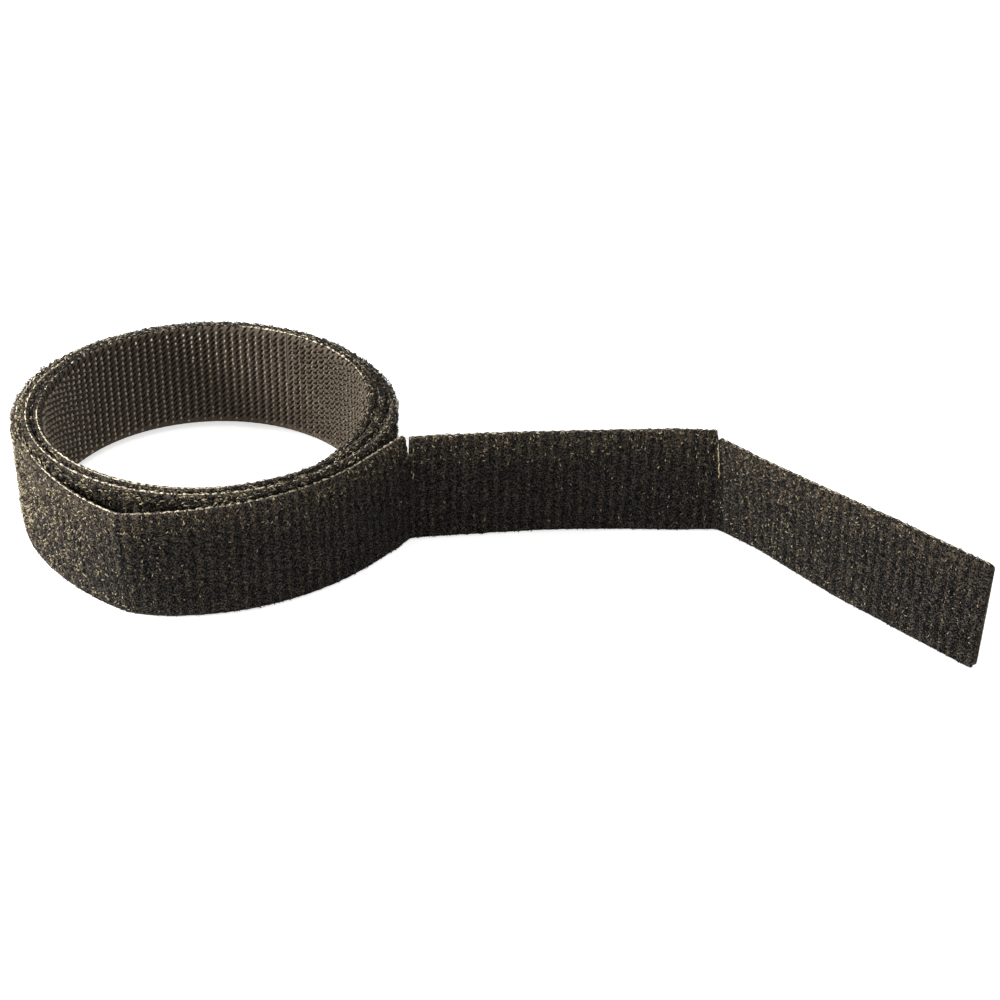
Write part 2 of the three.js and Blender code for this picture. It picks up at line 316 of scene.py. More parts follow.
def on_tape(along, across, out):
    """Points in the shared frame, in millimetres, from their places on the tape."""
    inside = np.clip(along, 0, TAPE_LENGTH)
    x, y, h, lift = (np.interp(inside, COURSE[0], COURSE[k]) for k in range(1, 5))
    top, foot = (np.interp(along, STANCE[:, 0], STANCE[:, k]) for k in (1, 2))
    share = across / TAPE_WIDTH
    thin = np.interp(along, (0, PRESSED_REACH), (PRESSED, 1))
    out = out * thin + (1 - thin) * HALF_THICKNESS + foot + (top - foot) * share
    high = slit_share(across, LEAN_LIMIT) ** LEAN_GROWTH
    for slit, (before, after, _, _) in GAPES.items():
        corner = np.where(along < slit, before, after)
        out = out + corner * high * np.exp(-np.abs(along - slit) / LEAN_REACH)
    past = along - inside
    return np.stack([
        x + out * np.sin(h) + past * np.cos(h),
        y - out * np.cos(h) + past * np.sin(h),
        lift + across,
    ], -1)


def gaped(along, across):
    """Length along the tape once its slits gape and its two ends are cut with round corners."""
    moved = np.array(along, float)
    high = slit_share(across, 1) ** GAPE_GROWTH
    for slit, (_, _, before, after) in GAPES.items():
        away = np.abs(along - slit) - SLIT_HALF
        push = high * np.clip(1 - away / GAPE_REACH, 0, 1)
        moved += np.where(along < slit, -before * push, after * push)
    share = np.clip(across / TAPE_WIDTH, 0, 1)
    left = TAPE_LENGTH - along
    late = np.clip(1 - left / END_SKEW_REACH, 0, 1)
    moved += late * (END_SKEW_FOOT + (END_SKEW_TOP - END_SKEW_FOOT) * share)
    edge = np.clip(END_CORNER - np.minimum(across, TAPE_WIDTH - across), 0, END_CORNER)
    cut = END_CORNER - np.sqrt(END_CORNER**2 - edge**2)
    moved -= cut * np.clip(1 - left / END_CORNER_REACH, 0, 1)
    return moved + cut * np.clip(1 - along / END_CORNER_REACH, 0, 1)


def ripple(along, across, cell, seed):
    """Smooth random heights from -1 to 1, one for each cell of that size in millimetres."""
    cell_along, cell_across = cell
    grid = np.random.default_rng(seed).uniform(
        -1, 1, (int(TAPE_LENGTH / cell_along) + 4, int(TAPE_WIDTH / cell_across) + 6))
    u = np.clip(along / cell_along + 1, 0, grid.shape[0] - 1.001)
    v = np.clip(across / cell_across + 2, 0, grid.shape[1] - 1.001)
    i, j = u.astype(int), v.astype(int)
    s, t = u - i, v - j
    s, t = s * s * (3 - 2 * s), t * t * (3 - 2 * t)
    low = grid[i, j] * (1 - s) + grid[i + 1, j] * s
    high = grid[i, j + 1] * (1 - s) + grid[i + 1, j + 1] * s
    return low * (1 - t) + high * t


def size(key):
    """One of the tape's sizes, in millimetres."""
    return getattr(bpy.context.scene.tape_sizes, key) / MM


def ribbing(along, across):
    """Weft ribs of the loop cloth, every second one fuller, none quite straight."""
    turns = along / size("rib_pitch") + 0.25 * ripple(along, across, (3.0, 4.0), 11)
    return 0.5 * np.cos(2 * math.pi * turns) + 0.5 * np.cos(math.pi * turns)


def pile_height(along, across):
    """The brushed loop ground: weft ribs under an uneven pile."""
    tufts = 0.14 * ripple(along, across, (0.6, 0.9), 12)
    return 0.1 * ribbing(along, across) + tufts


def weave_height(along, across):
    """The hook ground: raised weft ribs with sunk grooves between them."""
    column, row = size("hook_column"), size("hook_row")
    rib = np.cos(2 * math.pi * along / column)
    steps = np.cos(2 * math.pi * (across / row + TWILL_STEPS * along / column))
    plain = smooth(np.minimum(across, TAPE_WIDTH - across), 0.3, 1.0)
    return plain * (0.11 * rib + 0.05 * steps) + 0.03 * ripple(along, across, (0.5, 0.5), 21)


def edge_height(along, across):
    """The film's cut edge: it follows the hook cloth's ribs, and sinks under stray pile."""
    rib = np.cos(2 * math.pi * along / size("hook_column"))
    cover = np.interp(along, *COVER.T)
    sunk = FILM_SINK * np.clip((cover - SINK_START) / (SINK_FULL - SINK_START), 0, 1)
    uneven = 0.1 * ripple(along, across, (0.45, 0.5), 31)
    return 0.05 * rib + uneven - sunk * (across > SLIT_FOOT)


def scallop(along):
    """The weft's turns along a selvage."""
    wander = 0.3 * ripple(along, TAPE_WIDTH / 2, (4.0, 4.0), 32)
    return np.cos(2 * math.pi * (along / SCALLOP_PITCH + wander))


def face_mesh(name, points, faces, flat_faces, key, values, material):
    """A mesh piece from points in millimetres and its faces, lists of point numbers, the last
    ones flat. Its points carry values, numbers or vectors, under the name key."""
    mesh = bpy.data.meshes.new(name)
    counts = np.concatenate([[f.shape[1]] * len(f) if f.ndim == 2 else [len(f)]
                             for f in faces]).astype(np.int32)
    corners = np.concatenate([np.ravel(f) for f in faces]).astype(np.int32)
    mesh.vertices.add(points.size // 3)
    mesh.vertices.foreach_set("co", (points * MM).astype(np.float32).ravel())
    mesh.loops.add(len(corners))
    mesh.loops.foreach_set("vertex_index", corners)
    mesh.polygons.add(len(counts))
    mesh.polygons.foreach_set("loop_start", np.concatenate([[0], np.cumsum(counts)[:-1]]))
    mesh.update(calc_edges=True)
    soft = np.arange(len(counts)) < len(counts) - flat_faces
    mesh.polygons.foreach_set("use_smooth", soft)
    kind, field = ("FLOAT", "value") if values.ndim == 1 else ("FLOAT_VECTOR", "vector")
    layer = mesh.attributes.new(key, kind, "POINT")
    layer.data.foreach_set(field, values.astype(np.float32).ravel())
    mesh.validate()
    mesh.materials.append(material)
    piece = bpy.data.objects.new(name, mesh)
    bpy.context.scene.collection.objects.link(piece)
    return piece


def columns(start, end, step):
    """Lengths along the tape at which a ply has a row of points, with every slit's edges."""
    slits = [slit for slit in SLITS if start < slit < end]
    edges = [start, *(s + d for s in slits for d in (-SLIT_HALF, SLIT_HALF)), end]
    found = [start]
    for a, b in zip(edges, edges[1:]):
        found.extend(np.linspace(a, b, math.ceil((b - a) / step) + 1)[1:])
    return np.array(found)


def ply(name, start, end, step, outline, height, material):
    """One closed ply of the tape, slit where the tape is slit. outline holds its section's
    points: across, outward, and how far relief moves each of them across and outward. It
    starts and ends on the ply's plain inner face."""
    along = columns(start, end, step)
    # One more point, last, where the slits' foot meets the inner face.
    across, out, give_across, give_out = np.column_stack(
        [outline, (SLIT_FOOT, outline[1][0], 0, 0)])
    n, m = len(along), len(across) - 1
    a, v = np.meshgrid(along, across, indexing="ij")
    # The relief is weaker low down, where the tape stands on its edge.
    bump = height(a, v) * (0.3 + 0.7 * smooth(v, 0, 2.5))
    edge = bump + np.where(v < 1, SCALLOP_FOOT, SCALLOP_TOP) * scallop(a)
    points = on_tape(gaped(a, v), v + edge * give_across, out + bump * give_out)
    marks = np.stack([a, v, np.broadcast_to(out, a.shape)], -1)
    index = np.arange(n * (m + 1)).reshape(n, m + 1)
    foot = int(np.argmin(np.abs(across - SLIT_FOOT)))
    # Rows this close are the two edges of a slit.
    gap = np.diff(along) < 3 * SLIT_HALF
    ring = index[:, [*range(m + 1), 0]]
    quads = np.stack([ring[:-1, :-1], ring[1:, :-1], ring[1:, 1:], ring[:-1, 1:]], -1)
    keep = np.ones(quads.shape[:2], bool)
    keep[gap, foot:m] = False
    faces, flat = [quads[keep]], []
    for i in np.flatnonzero(gap):
        flat += [index[i, foot:], index[i + 1, foot:][::-1],
                 index[[i, i, i + 1, i + 1], [foot, m, m, foot]]]
    flat += [index[0][::-1], index[-1]]
    if out.max() - out[0] > out[0] - out.min():
        faces, flat = [f[:, ::-1] for f in faces], [f[::-1] for f in flat]
    return face_mesh(name, points, faces + flat, len(flat), "tape", marks, material)


def section(inner, outer, rows, round_over, rise):
    """A ply's outline: from its inner side's foot, round onto its face and round its top."""
    top = TAPE_WIDTH + rise
    side = np.sign(outer - inner)
    across = [0.0, -rise, 0.25 * round_over - rise, *rows,
              top - 0.25 * round_over, top, TAPE_WIDTH]
    shoulder = outer - side * 0.6 * round_over
    near = outer - side * 0.1 * round_over
    out = [inner, shoulder, near, *[outer] * len(rows), near, shoulder, inner]
    give_across = [0, -0.8, -0.5, *[0] * len(rows), 0.5, 0.8, 0.0]
    give_out = [0, 0.4 * side, 0.8 * side, *[side] * len(rows), 0.8 * side, 0.4 * side, 0]
    return [np.array(x, float) for x in (across, out, give_across, give_out)]


def rows_between(step):
    """Heights of a cloth's rows of points, with one at the slits' foot."""
    low, high = EDGE_ROW, TAPE_WIDTH - EDGE_ROW
    below = np.linspace(low, SLIT_FOOT, math.ceil((SLIT_FOOT - low) / step) + 1)
    above = np.linspace(SLIT_FOOT, high, math.ceil((high - SLIT_FOOT) / step) + 1)
    return [*below, *above[1:]]


def unit(vectors):
    """Vectors of length one."""
    return vectors / np.maximum(np.linalg.norm(vectors, axis=-1, keepdims=True), 1e-9)


def strands(name, paths, thickness, sides, tone, material):
    """Many closed strands in one mesh. paths is (strand, point, xyz) in millimetres, the first
    and last point of each being its tips; thickness is the radius, or one for each inner
    point; tone is how light each strand is."""
    count, inner = len(paths), paths.shape[1] - 2
    belly = paths[:, inner // 2 + 1] - (paths[:, 0] + paths[:, -1]) / 2
    side = unit(np.cross(paths[:, -1] - paths[:, 0], belly))
    side = np.repeat(side[:, None], inner, 1)
    other = np.cross(unit(paths[:, 2:] - paths[:, :-2]), side)
    turn = 2 * math.pi * np.arange(sides) / sides
    ring = (side[:, :, None] * np.cos(turn)[None, None, :, None]
            + other[:, :, None] * np.sin(turn)[None, None, :, None])
    thick = np.broadcast_to(thickness, (count, inner))[..., None, None]
    ring = paths[:, 1:-1, None] + ring * thick
    points = np.concatenate([paths[:, :1], ring.reshape(count, -1, 3), paths[:, -1:]], 1)
    each = points.shape[1]
    k = np.arange(sides)
    after = (k + 1) % sides
    first = np.stack([np.zeros(sides, int), 1 + after, 1 + k], -1)
    base = 1 + (inner - 1) * sides
    last = np.stack([np.full(sides, each - 1), base + k, base + after], -1)
    quads = np.concatenate([np.stack([r + k, r + after, r + sides + after, r + sides + k], -1)
                            for r in range(1, base, sides)])
    move = (np.arange(count) * each)[:, None, None]
    faces = [(part[None] + move).reshape(-1, part.shape[1]) for part in (first, last, quads)]
    return face_mesh(name, points, faces, 0, "tone", np.repeat(tone, each), material)


def body_of(stretch):
    """The body that a stretch between the folds rides on."""
    return "coil" if stretch == "coil_heart" else stretch


def fold_owner(hinge):
    """The tie that a fold's land and cloths belong to."""
    _, before, after = HINGES[hinge]
    return before if hinge == "inner_hinge" else after


def solids(stretch, kind):
    """The solids that a ply's piece stands for. A fold's land goes with its loop cloth."""
    if stretch not in HINGES:
        return [f"{body_of(stretch)}_{kind}"]
    return [f"{fold_owner(stretch)}_land"] if kind == "loop_ply" else []


def carry(piece, stretch, slot, *nodes):
    """Hangs a piece on its body, or leaves a fold's piece unattached with its transform baked, and
    hides the solids that it stands for. Its slot is not used.
    """
    if stretch in HINGES:
        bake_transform(piece)
    else:
        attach(piece, body_of(stretch))
    if nodes:
        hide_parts(*nodes)


def linear(text):
    """The linear colour of an sRGB hex value."""
    parts = [int(text[k:k + 2], 16) / 255 for k in (1, 3, 5)]
    return tuple(c / 12.92 if c <= 0.04045 else ((c + 0.055) / 1.055) ** 2.4 for c in parts)


def node(tree, kind, inputs=None, stops=(), **settings):
    """Adds one shader node of a kind, such as Math, with its settings and its inputs: values,
    outputs to link, or nodes to link by their first output. A ramp also has stops, each a
    place and the name of one of the tape's colours."""
    made = tree.nodes.new(f"ShaderNode{kind}")
    for key, value in settings.items():
        setattr(made, key, value)
    for key, value in (inputs or {}).items():
        if isinstance(value, bpy.types.Node):
            value = value.outputs[0]
        if isinstance(value, bpy.types.NodeSocket):
            tree.links.new(value, made.inputs[key])
        else:
            made.inputs[key].default_value = value
    if stops:
        colours, elements = bpy.context.scene.tape_colours, made.color_ramp.elements
        while len(elements) < len(stops):
            elements.new(0.5)
        for element, (at, name) in zip(elements, stops):
            element.position, element.color = at, (*getattr(colours, name), 1)
    return made


def new_material(name):
    """An empty material and its node tree. The cloths and the film carry their place on the
    tape in millimetres, so a noise's scale is its specks in a millimetre. Real filaments,
    0.02 to 0.04 mm, are too fine to show, so specks are coarser, 0.25 to 0.5 mm."""
    material = bpy.data.materials.new(name)
    material.use_nodes = True
    material.node_tree.nodes.clear()
    return material, material.node_tree


def finish(tree, level, stops, roughness, specular, relief=None):
    """Ends a material: colours along a level, a sheen, and the level's relief as a strength
    and a depth in millimetres."""
    looks = {"Base Color": node(tree, "ValToRGB", {"Fac": level}, stops),
             "Roughness": roughness, "Specular IOR Level": specular}
    if relief:
        strength, depth = relief
        looks["Normal"] = node(tree, "Bump", {"Height": level, "Strength": strength,
                                              "Distance": depth * MM})
    surface = node(tree, "BsdfPrincipled", looks)
    node(tree, "OutputMaterial", {"Surface": surface})


def wave(tree, value, pitch):
    """Rises and falls between -1 and 1 once every pitch."""
    turned = node(tree, "Math", {0: value, 1: 2 * math.pi / pitch}, operation="MULTIPLY")
    return node(tree, "Math", {0: turned}, operation="COSINE")


def graded(tree, level, place, low, high, start, end):
    """A level, plus start where place is at low or less, and end where it is at high or more."""
    shift = node(tree, "MapRange", {"Value": place, "From Min": low, "From Max": high,
                                   "To Min": start, "To Max": end})
    return node(tree, "Math", {0: level, 1: shift}, operation="ADD")


def loop_cloth_material():
    """Woven polyamide loop ground, brushed: near black between its loops, matt."""
    material, tree = new_material("Polyamide_loop_ground_woven_brushed")
    place = node(tree, "Attribute", attribute_name="tape").outputs["Vector"]
    axes = node(tree, "SeparateXYZ", {"Vector": place}).outputs
    ribs = wave(tree, axes["X"], 2 * size("rib_pitch"))
    specks = node(tree, "TexNoise",
                  {"Vector": place, "Scale": 3.8, "Detail": 2.0, "Roughness": 0.6})
    level = node(tree, "Math", {0: ribs, 1: 0.03, 2: specks}, operation="MULTIPLY_ADD")
    # Painted light: lighter towards the top edge, where light from above catches the pile.
    level = graded(tree, level, axes["Y"], 12.5, 19.0, 0.0, 0.04)
    finish(tree, level, [(0.46, "pile_dark"), (0.55, "pile"), (0.68, "pile_sheen")],
           roughness=0.85, specular=0.02, relief=(1.0, 0.2))
    return material


def pile_material():
    """Polyamide filament loops, heat set: fine strands from black to pale brown, their tones at
    random, half glossy. The pale strands, many where the light falls, are painted sheen.
    """
    material, tree = new_material("Polyamide_filament_loops")
    tone = node(tree, "Attribute", attribute_name="tone").outputs["Fac"]
    finish(tree, tone, [(0.0, "pile_dark"), (0.3, "pile"), (0.6, "pile_sheen"),
                        (1.0, "pile_glint")], roughness=0.55, specular=0.13)
    return material


def hook_cloth_material():
    """Woven polyamide hook ground: brown weft ribs, matt, with painted shade, near black, in the
    grooves between them. The ribs and the twill's steps across them have the weave's own pitches."""
    column, row = size("hook_column"), size("hook_row")
    material, tree = new_material("Polyamide_hook_ground_woven")
    place = node(tree, "Attribute", attribute_name="tape").outputs["Vector"]
    axes = node(tree, "SeparateXYZ", {"Vector": place}).outputs
    slant = node(tree, "Math", {0: axes["X"], 1: TWILL_STEPS * row / column, 2: axes["Y"]},
                 operation="MULTIPLY_ADD")
    noise = node(tree, "TexNoise",
                 {"Vector": place, "Scale": 2.0, "Detail": 2.0, "Roughness": 0.6})
    level = node(tree, "MapRange", {"Value": noise, "To Min": 0.33, "To Max": 0.67})
    # The ribs' grooves reach the ramp's dark end, painted shade.
    for relief in (wave(tree, axes["X"], column), wave(tree, slant, row)):
        level = node(tree, "Math", {0: relief, 1: 0.2, 2: level}, operation="MULTIPLY_ADD")
    # Paler along the foot. Painted light: paler from 62 mm along, and a little darker up to 45 mm,
    # where the key lamp lights the wall most. Painted shade: darker from 85 mm, fully from 112 mm,
    # where shadows of the hooks fill the wall seen aslant.
    for axis, low, high, start, end in (("Y", 0.9, 1.4, 0.25, 0.0),
                                        ("X", 45.0, 62.0, -0.02, 0.06),
                                        ("X", 85.0, 112.0, 0.0, -0.11)):
        level = graded(tree, level, axes[axis], low, high, start, end)
    finish(tree, level, [(0.30, "ground_shade"), (0.47, "ground"), (0.85, "ground_pale")],
           roughness=0.75, specular=0.08, relief=(0.8, 0.12))
    return material


def hook_material():
    """Polyamide monofilament hooks, heat set and cut: pale brown, smooth and glossy."""
    material, tree = new_material("Polyamide_monofilament_hooks")
    tone = node(tree, "Attribute", attribute_name="tone").outputs["Fac"]
    finish(tree, tone, [(0.0, "hook_dark"), (1.0, "hook")], roughness=0.4, specular=0.3)
    return material


def film_material():
    """Polyurethane bonding film, laminated and cut: a pale beige line, crossed by dark pile."""
    material, tree = new_material("Polyurethane_bonding_film")
    place = node(tree, "Attribute", attribute_name="tape").outputs["Vector"]
    noise = node(tree, "TexNoise",
                 {"Vector": place, "Scale": 2.2, "Detail": 2.0, "Roughness": 0.8})
    finish(tree, noise, [(0.47, "film_soiled"), (0.53, "film")], roughness=0.5, specular=0.3)
    return material


def seen_directly(tree):
    """1 for what the lens sees, straight or in a gloss or through glass, and 0 for light."""
    rays = node(tree, "LightPath").outputs
    seen = rays["Is Camera Ray"]
    for way in ("Is Glossy Ray", "Is Transmission Ray"):
        seen = node(tree, "Math", {0: seen, 1: rays[way]}, operation="MAXIMUM")
    return seen


def floor_material():
    """White matt painted board: it goes out as white to the lens and keeps the shadow."""
    material, tree = new_material("Painted_board_matt")
    # 900 specks across the floor, 7 mm each: the paint's slight waves.
    grain = node(tree, "TexNoise", {"Scale": 900.0, "Detail": 2.0})
    bump = node(tree, "Bump", {"Height": grain, "Strength": 0.02, "Distance": MM})
    board = node(tree, "BsdfPrincipled",
                 {"Base Color": (*bpy.context.scene.tape_colours.floor, 1), "Roughness": 0.9,
                  "Normal": bump})
    share = node(tree, "Math", {0: seen_directly(tree), 1: FLOOR_GLOW}, operation="MULTIPLY")
    lit = node(tree, "Emission", {"Color": WHITE, "Strength": share})
    both = node(tree, "AddShader", {0: board, 1: lit})
    node(tree, "OutputMaterial", {"Surface": both})
    return material


def colour(name, text, about):
    """A colour property from an sRGB hex value."""
    return bpy.props.FloatVectorProperty(
        name=name, description=about, subtype="COLOR", size=3, min=0, max=1,
        default=linear(text))


def length(name, value, about):
    """A length property from a value in millimetres."""
    return bpy.props.FloatProperty(
        name=name, description=about, unit="LENGTH", subtype="DISTANCE", min=0,
        default=value * MM, precision=5)


class TapeSizes(bpy.types.PropertyGroup):
    """Sizes of the tape's weave, pile and hooks."""

    rib_pitch: length("Rib pitch", 0.92, "Distance between weft ribs of the loop cloth")
    hook_column: length("Hook column pitch", 1.54, "Distance between columns of hooks")
    hook_row: length("Hook row pitch", 1.05, "Distance between hooks up a column")
    hook_height: length("Hook height", 0.55, "How far a hook stands off its ground")
    hook_width: length("Hook width", 0.38, "How far a hook spans up the tape")
    # A real hook's filament is about 0.2 mm and a loop's 0.04 mm, too fine to show.
    hook_wire: length("Hook filament", 0.34, "Thickness of a hook's filament")
    loop_wire: length("Loop filament", 0.13, "Thickness of a pile loop's strand")
    plain_edge: length("Plain edge", 0.7, "Width of the hook cloth's edge without hooks")
    loop_density: bpy.props.FloatProperty(
        name="Loops per square mm", description="Raised pile loops on each square millimetre",
        default=3.6, min=0)


class TapeColours(bpy.types.PropertyGroup):
    """Colours of the tape and its stage."""

    pile_dark: colour("Pile, dark", "#131313", "Loop pile in its shade")
    pile: colour("Pile", "#414040", "Loop pile")
    # The two palest pile colours are painted sheen and painted highlights, on the loops that catch
    # the light.
    pile_sheen: colour("Pile, rubbed", "#78674f", "Loop pile where it is rubbed pale")
    pile_glint: colour("Pile, glint", "#f2e3bd", "The palest strands of the pile")
    # The hook ground's dark is painted shade, in its grooves and on the wall's far part.
    ground_shade: colour("Hook ground, dark", "#0b0a09", "Sunk yarns of the hook cloth")
    ground: colour("Hook ground", "#5a5146", "Middling yarns of the hook cloth")
    ground_pale: colour("Hook ground, pale", "#6c6154", "Raised yarns of the hook cloth")
    # The hooks' tone by place, between these two, is painted light and shade.
    hook: colour("Hooks", "#ece0cc", "Hook filament")
    hook_dark: colour("Hooks, dark", "#766957", "The darkest hook filaments")
    film: colour("Film", "#f0e2c2", "Cut edge of the bonding film")
    film_soiled: colour("Film, soiled", "#2c251d", "Film edge under stray pile")
    floor: colour("Floor", "#f4f4f2", "Floor and backdrop")


class TapeOperator:
    """What every step of the build shares."""

    bl_options = {"REGISTER"}


class BuildLoopCloth(TapeOperator, bpy.types.Operator):
    """Builds the woven loop ply of every stretch of the tape"""

    bl_idname = "tape_roll.loop_cloth"
    bl_label = "Loop cloth"

    def execute(self, context):
        material = loop_cloth_material()
        fine, plain = (section(FILM_OUTER, CLOTH_FACE, rows, round_over=0.5, rise=0.03)
                       for rows in (rows_between(0.8), PLAIN_LOOP_ROWS))
        for name, start, end in stretches(HIDDEN_LOOP_END):
            step, outline = (0.45, plain) if end <= HIDDEN_LOOP_END else (0.36, fine)
            piece = ply(f"{name}_loop_cloth", start, end, step, outline, pile_height, material)
            carry(piece, name, "loop_pile", *solids(name, "loop_ply"))
        return {"FINISHED"}


class BuildHookCloth(TapeOperator, bpy.types.Operator):
    """Builds the woven hook ply of every stretch of the tape"""

    bl_idname = "tape_roll.hook_cloth"
    bl_label = "Hook cloth"

    def execute(self, context):
        material = hook_cloth_material()
        fine, coarse, plain = (section(FILM_INNER, -CLOTH_FACE, rows, round_over=0.4, rise=0.0)
                               for rows in (rows_between(0.35), rows_between(0.45),
                                            PLAIN_HOOK_ROWS))
        for name, start, end in stretches(HIDDEN_HOOK_START):
            step, outline = (0.3, fine) if end <= HIDDEN_HOOK_START else (0.36, coarse)
            if name == "coil":
                step, outline = 0.45, plain
            piece = ply(f"{name}_hook_cloth", start, end, step, outline, weave_height, material)
            carry(piece, name, "hook_weave", *solids(name, "hook_ply"))
        return {"FINISHED"}


class BuildBondFilm(TapeOperator, bpy.types.Operator):
    """Builds the film that bonds the two plies, a pale line along every cut edge"""

    bl_idname = "tape_roll.bond_film"
    bl_label = "Bonding film"

    def execute(self, context):
        material = film_material()
        outer = FILM_OUTER + FILM_BULGE
        outline = np.array([
            (0, FILM_INNER, 0, 0), (FILM_FOOT, FILM_INNER, -1, 0.4), (FILM_FOOT, outer, -1, 0.4),
            (SLIT_FOOT, outer, 0, 0), (FILM_TOP, outer, 1, 0.6), (FILM_TOP, FILM_INNER, 1, 0.6),
            (TAPE_WIDTH, FILM_INNER, 0, 0),
        ]).T
        for name, start, end in stretches(HIDDEN_LOOP_END):
            piece = ply(f"{name}_film", start, end, 0.4, outline, edge_height, material)
            carry(piece, name, "bond_film", *solids(name, "bond_film"))
        return {"FINISHED"}


def clear_of_slits(along, across, room):
    """True where a place isn't in a slit or close to the tape's ends."""
    nearest = np.abs(along - np.round(along / TIE_PITCH) * TIE_PITCH)
    slit = (nearest < room) & (across > SLIT_FOOT) & within(along, [(1, TAPE_LENGTH - 1)])
    return ~slit & within(along, [(END_ROOM, TAPE_LENGTH - END_ROOM)])


def own_side(along, u, v):
    """Keeps each strand on its own side of the nearest slit."""
    slit = (np.clip(np.round(along / TIE_PITCH), 1, TIES - 1) * TIE_PITCH)[:, None]
    kept = np.where(along[:, None] < slit, np.minimum(u, slit - SLIT_HALF),
                    np.maximum(u, slit + SLIT_HALF))
    return np.where(v > SLIT_FOOT, kept, u)


def raised_loops(rng, along, across):
    """Loops standing off the cloth, half of them nearly upright and the others turned any
    way, 0.28 to 0.65 mm wide and 0.12 to 0.6 mm high, lower near the foot."""
    count = len(along)
    turn = np.where(rng.uniform(size=count) < 0.5, rng.normal(math.pi / 2, 0.35, count),
                    rng.uniform(0, 2 * math.pi, count))[:, None]
    span = rng.uniform(0.28, 0.65, count)[:, None]
    height = rng.uniform(0.12, 0.6, count) * (0.15 + 0.85 * smooth(across, 0.3, 2.5))
    part = np.array([-0.5, -0.22, 0.22, 0.5])
    u = along[:, None] + np.cos(turn) * span * part + rng.normal(0, 0.05, (count, 4))
    v = across[:, None] + np.sin(turn) * span * part + rng.normal(0, 0.05, (count, 4))
    crest = CREST * (0.75 + 0.25 * scallop(along))[:, None]
    v = v + crest * smooth(v, CREST_FROM, TAPE_WIDTH)
    v = np.clip(v, -0.08, TAPE_WIDTH + 0.1 + crest)
    out = PILE_FOOT + height[:, None] * np.array([-0.3, 0.8, 1.0, -0.3])
    return own_side(along, u, v), v, out


def rim_loops(rng, along, cover):
    """Loops 0.5 to 1 mm wide, lying over the film along the tape's top edge."""
    count = len(along)
    span = rng.uniform(0.5, 1.0, count)[:, None]
    high = (cover * rng.uniform(0.3, 1.0, count) * (0.75 + 0.25 * scallop(along)))[:, None]
    out = rng.uniform(-0.3, PILE_FOOT, count)[:, None]
    v = TAPE_WIDTH + high * np.array([0, 1, 1, 0]) - np.array([0.35, 0, 0, 0.35])
    return along[:, None] + span * LOOP_BOW, v, out + rng.normal(0, 0.15, (count, 4))


def gap_loops(rng, along):
    """Loops 0.5 to 1 mm wide that fill the gap between two wound turns, near their tops."""
    count = len(along)
    span = rng.uniform(0.5, 1.0, count)[:, None]
    across = rng.uniform(CREST_FROM, TAPE_WIDTH + 0.15, count)[:, None]
    out = rng.uniform(PILE_FOOT, np.interp(along, *GAP_REACH.T))[:, None]
    v = across + rng.normal(0, 0.1, (count, 4)) - np.array([0.3, 0, 0, 0.3])
    return along[:, None] + span * LOOP_BOW, v, out + rng.normal(0, 0.08, (count, 4))


def frayed_strands(rng, slit, count):
    """Cut strands 0.4 to 0.9 mm long, standing along a slit's far edge."""
    across = rng.uniform(12.0, 18.5, count)[:, None]
    span = rng.uniform(0.4, 0.9, count)[:, None]
    u = slit + SLIT_HALF + rng.uniform(0, 0.3, count)[:, None] + rng.normal(0, 0.05, (count, 4))
    out = rng.uniform(0.75, 1.2, count)[:, None] + rng.normal(0, 0.05, (count, 4))
    return u, across + span * LOOP_BOW, out


def pile_loops(rng, start, end, density):
    """A stretch's loops, as the along, across and outward of their points, and how many of
    them are frayed strands, which come last."""
    low = HIDDEN_PILE_FROM if end <= HIDDEN_LOOP_END else 0.0
    count = int(density * (end - start) * (TAPE_WIDTH - low))
    along = rng.uniform(start, end, count)
    across = rng.uniform(low, TAPE_WIDTH - 0.1, count)
    keep = clear_of_slits(along, across, room=0.03)
    rim = rng.uniform(start, end, int((end - start) * RIM_LOOPS))
    cover = np.interp(rim, *COVER.T)
    covered = (cover > 0.1) & clear_of_slits(rim, TAPE_WIDTH, room=0.3)
    gap = rng.uniform(start, end, int((end - start) * GAP_LOOPS))
    gap = np.concatenate([gap, gap[within(gap, WIDE_GAPS)] + 0.5])
    gap = gap[~within(gap, BARE_GAPS) & clear_of_slits(gap, 0, room=0)]
    made = [raised_loops(rng, along[keep], across[keep]),
            rim_loops(rng, rim[covered], cover[covered]), gap_loops(rng, gap)]
    fray = [frayed_strands(rng, slit, count) for slit, count in FRAYED.items()
            if start < slit < end]
    u, v, out = (np.concatenate(parts) for parts in zip(*made, *fray))
    held = within(u, HELD_PILE)
    out = np.where((u < START_HELD_END) | held, np.minimum(out, HELD_OUT), out)
    v = np.where(held, np.minimum(v, TAPE_WIDTH + HELD_OVER), v)
    return u, v, out, sum(len(strand[0]) for strand in fray)


def pile_tone(rng, along, across):
    """How light each loop is: at random, with a share of pale ones, painted sheen, set by its
    place on the tape.
    """
    low, top = (np.interp(along, PAINTED_SHEEN[:, 0], PAINTED_SHEEN[:, k]) for k in (1, 2))
    share = low + (top - low) * smooth(across, SHEEN_FROM, SHEEN_TO)
    share = share + SHEEN_ON_RIBS * ribbing(along, across)
    pale = rng.uniform(size=len(along)) < share
    return np.where(pale, rng.uniform(*PALE_TONE, len(along)),
                    rng.uniform(0, 1, len(along)) * np.interp(along, *PLAIN_TONE.T))


def pile_stretches():
    """Each stretch of pile: its name, the tape's stretch that it is on, its start and end."""
    for name, start, end in stretches(HIDDEN_LOOP_END):
        if name == "coil":
            yield "coil_rear", name, start, PILE_SPLIT
            yield "coil_near", name, PILE_SPLIT, end
        else:
            yield name, name, start, end


